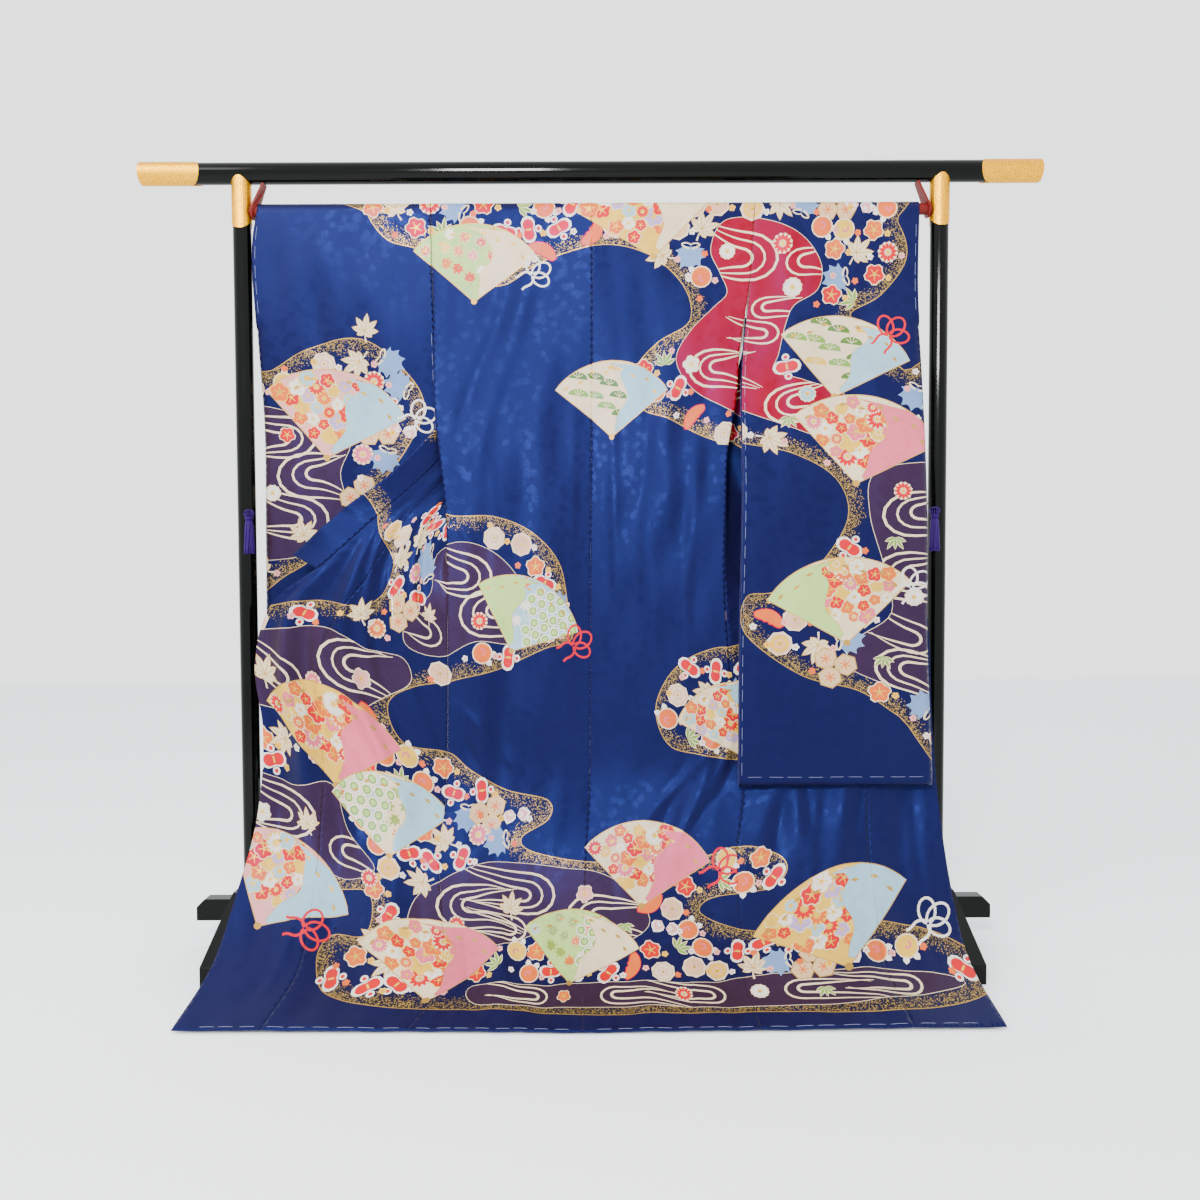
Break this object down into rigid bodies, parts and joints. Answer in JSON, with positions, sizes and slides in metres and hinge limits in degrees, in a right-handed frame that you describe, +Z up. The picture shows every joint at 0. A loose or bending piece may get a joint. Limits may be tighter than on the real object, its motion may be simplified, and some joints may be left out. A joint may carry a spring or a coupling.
{
  "type": "furisode kimono on a lacquered kimono stand",
  "caption": "Long-sleeved silk kimono spread with its back to the viewer on a rod below the rail of a lacquered stand, its fronts drawn out to the posts and its hem on the floor.",
  "frame": {"origin": "on the floor, under the middle of the part's box", "axes": "+X along the rail, to the right as seen from the kimono's back; +Y away from the viewer; +Z up"},
  "size_m": [1.767, 0.5682, 1.5545],
  "materials": {
    "black_lacquer": "gloss black lacquer over wood",
    "gilt_fittings": "gilt, finely punched",
    "cinnabar_lacquer": "satin dark red lacquer",
    "purple_silk": "twisted silk strands",
    "indigo_silk": "satin damask silk, dyed and gilded"
  },
  "bodies": {
    "root": {"top_rail": "black_lacquer", "post_left": "black_lacquer", "post_right": "black_lacquer", "lower_rail": "black_lacquer", "foot_left": "black_lacquer", "foot_right": "black_lacquer", "rail_cap_left": "gilt_fittings", "rail_cap_right": "gilt_fittings", "post_sleeve_left": "gilt_fittings", "post_sleeve_right": "gilt_fittings", "hook_left": "cinnabar_lacquer", "hook_right": "cinnabar_lacquer", "hanging_rod": "cinnabar_lacquer", "tassel_left": "purple_silk", "tassel_right": "purple_silk", "body_left": "indigo_silk", "body_right": "indigo_silk", "okumi_left": "indigo_silk", "okumi_right": "indigo_silk", "collar": "indigo_silk", "sleeve_left": "indigo_silk", "sleeve_right": "indigo_silk"}
  },
  "joints": []
}
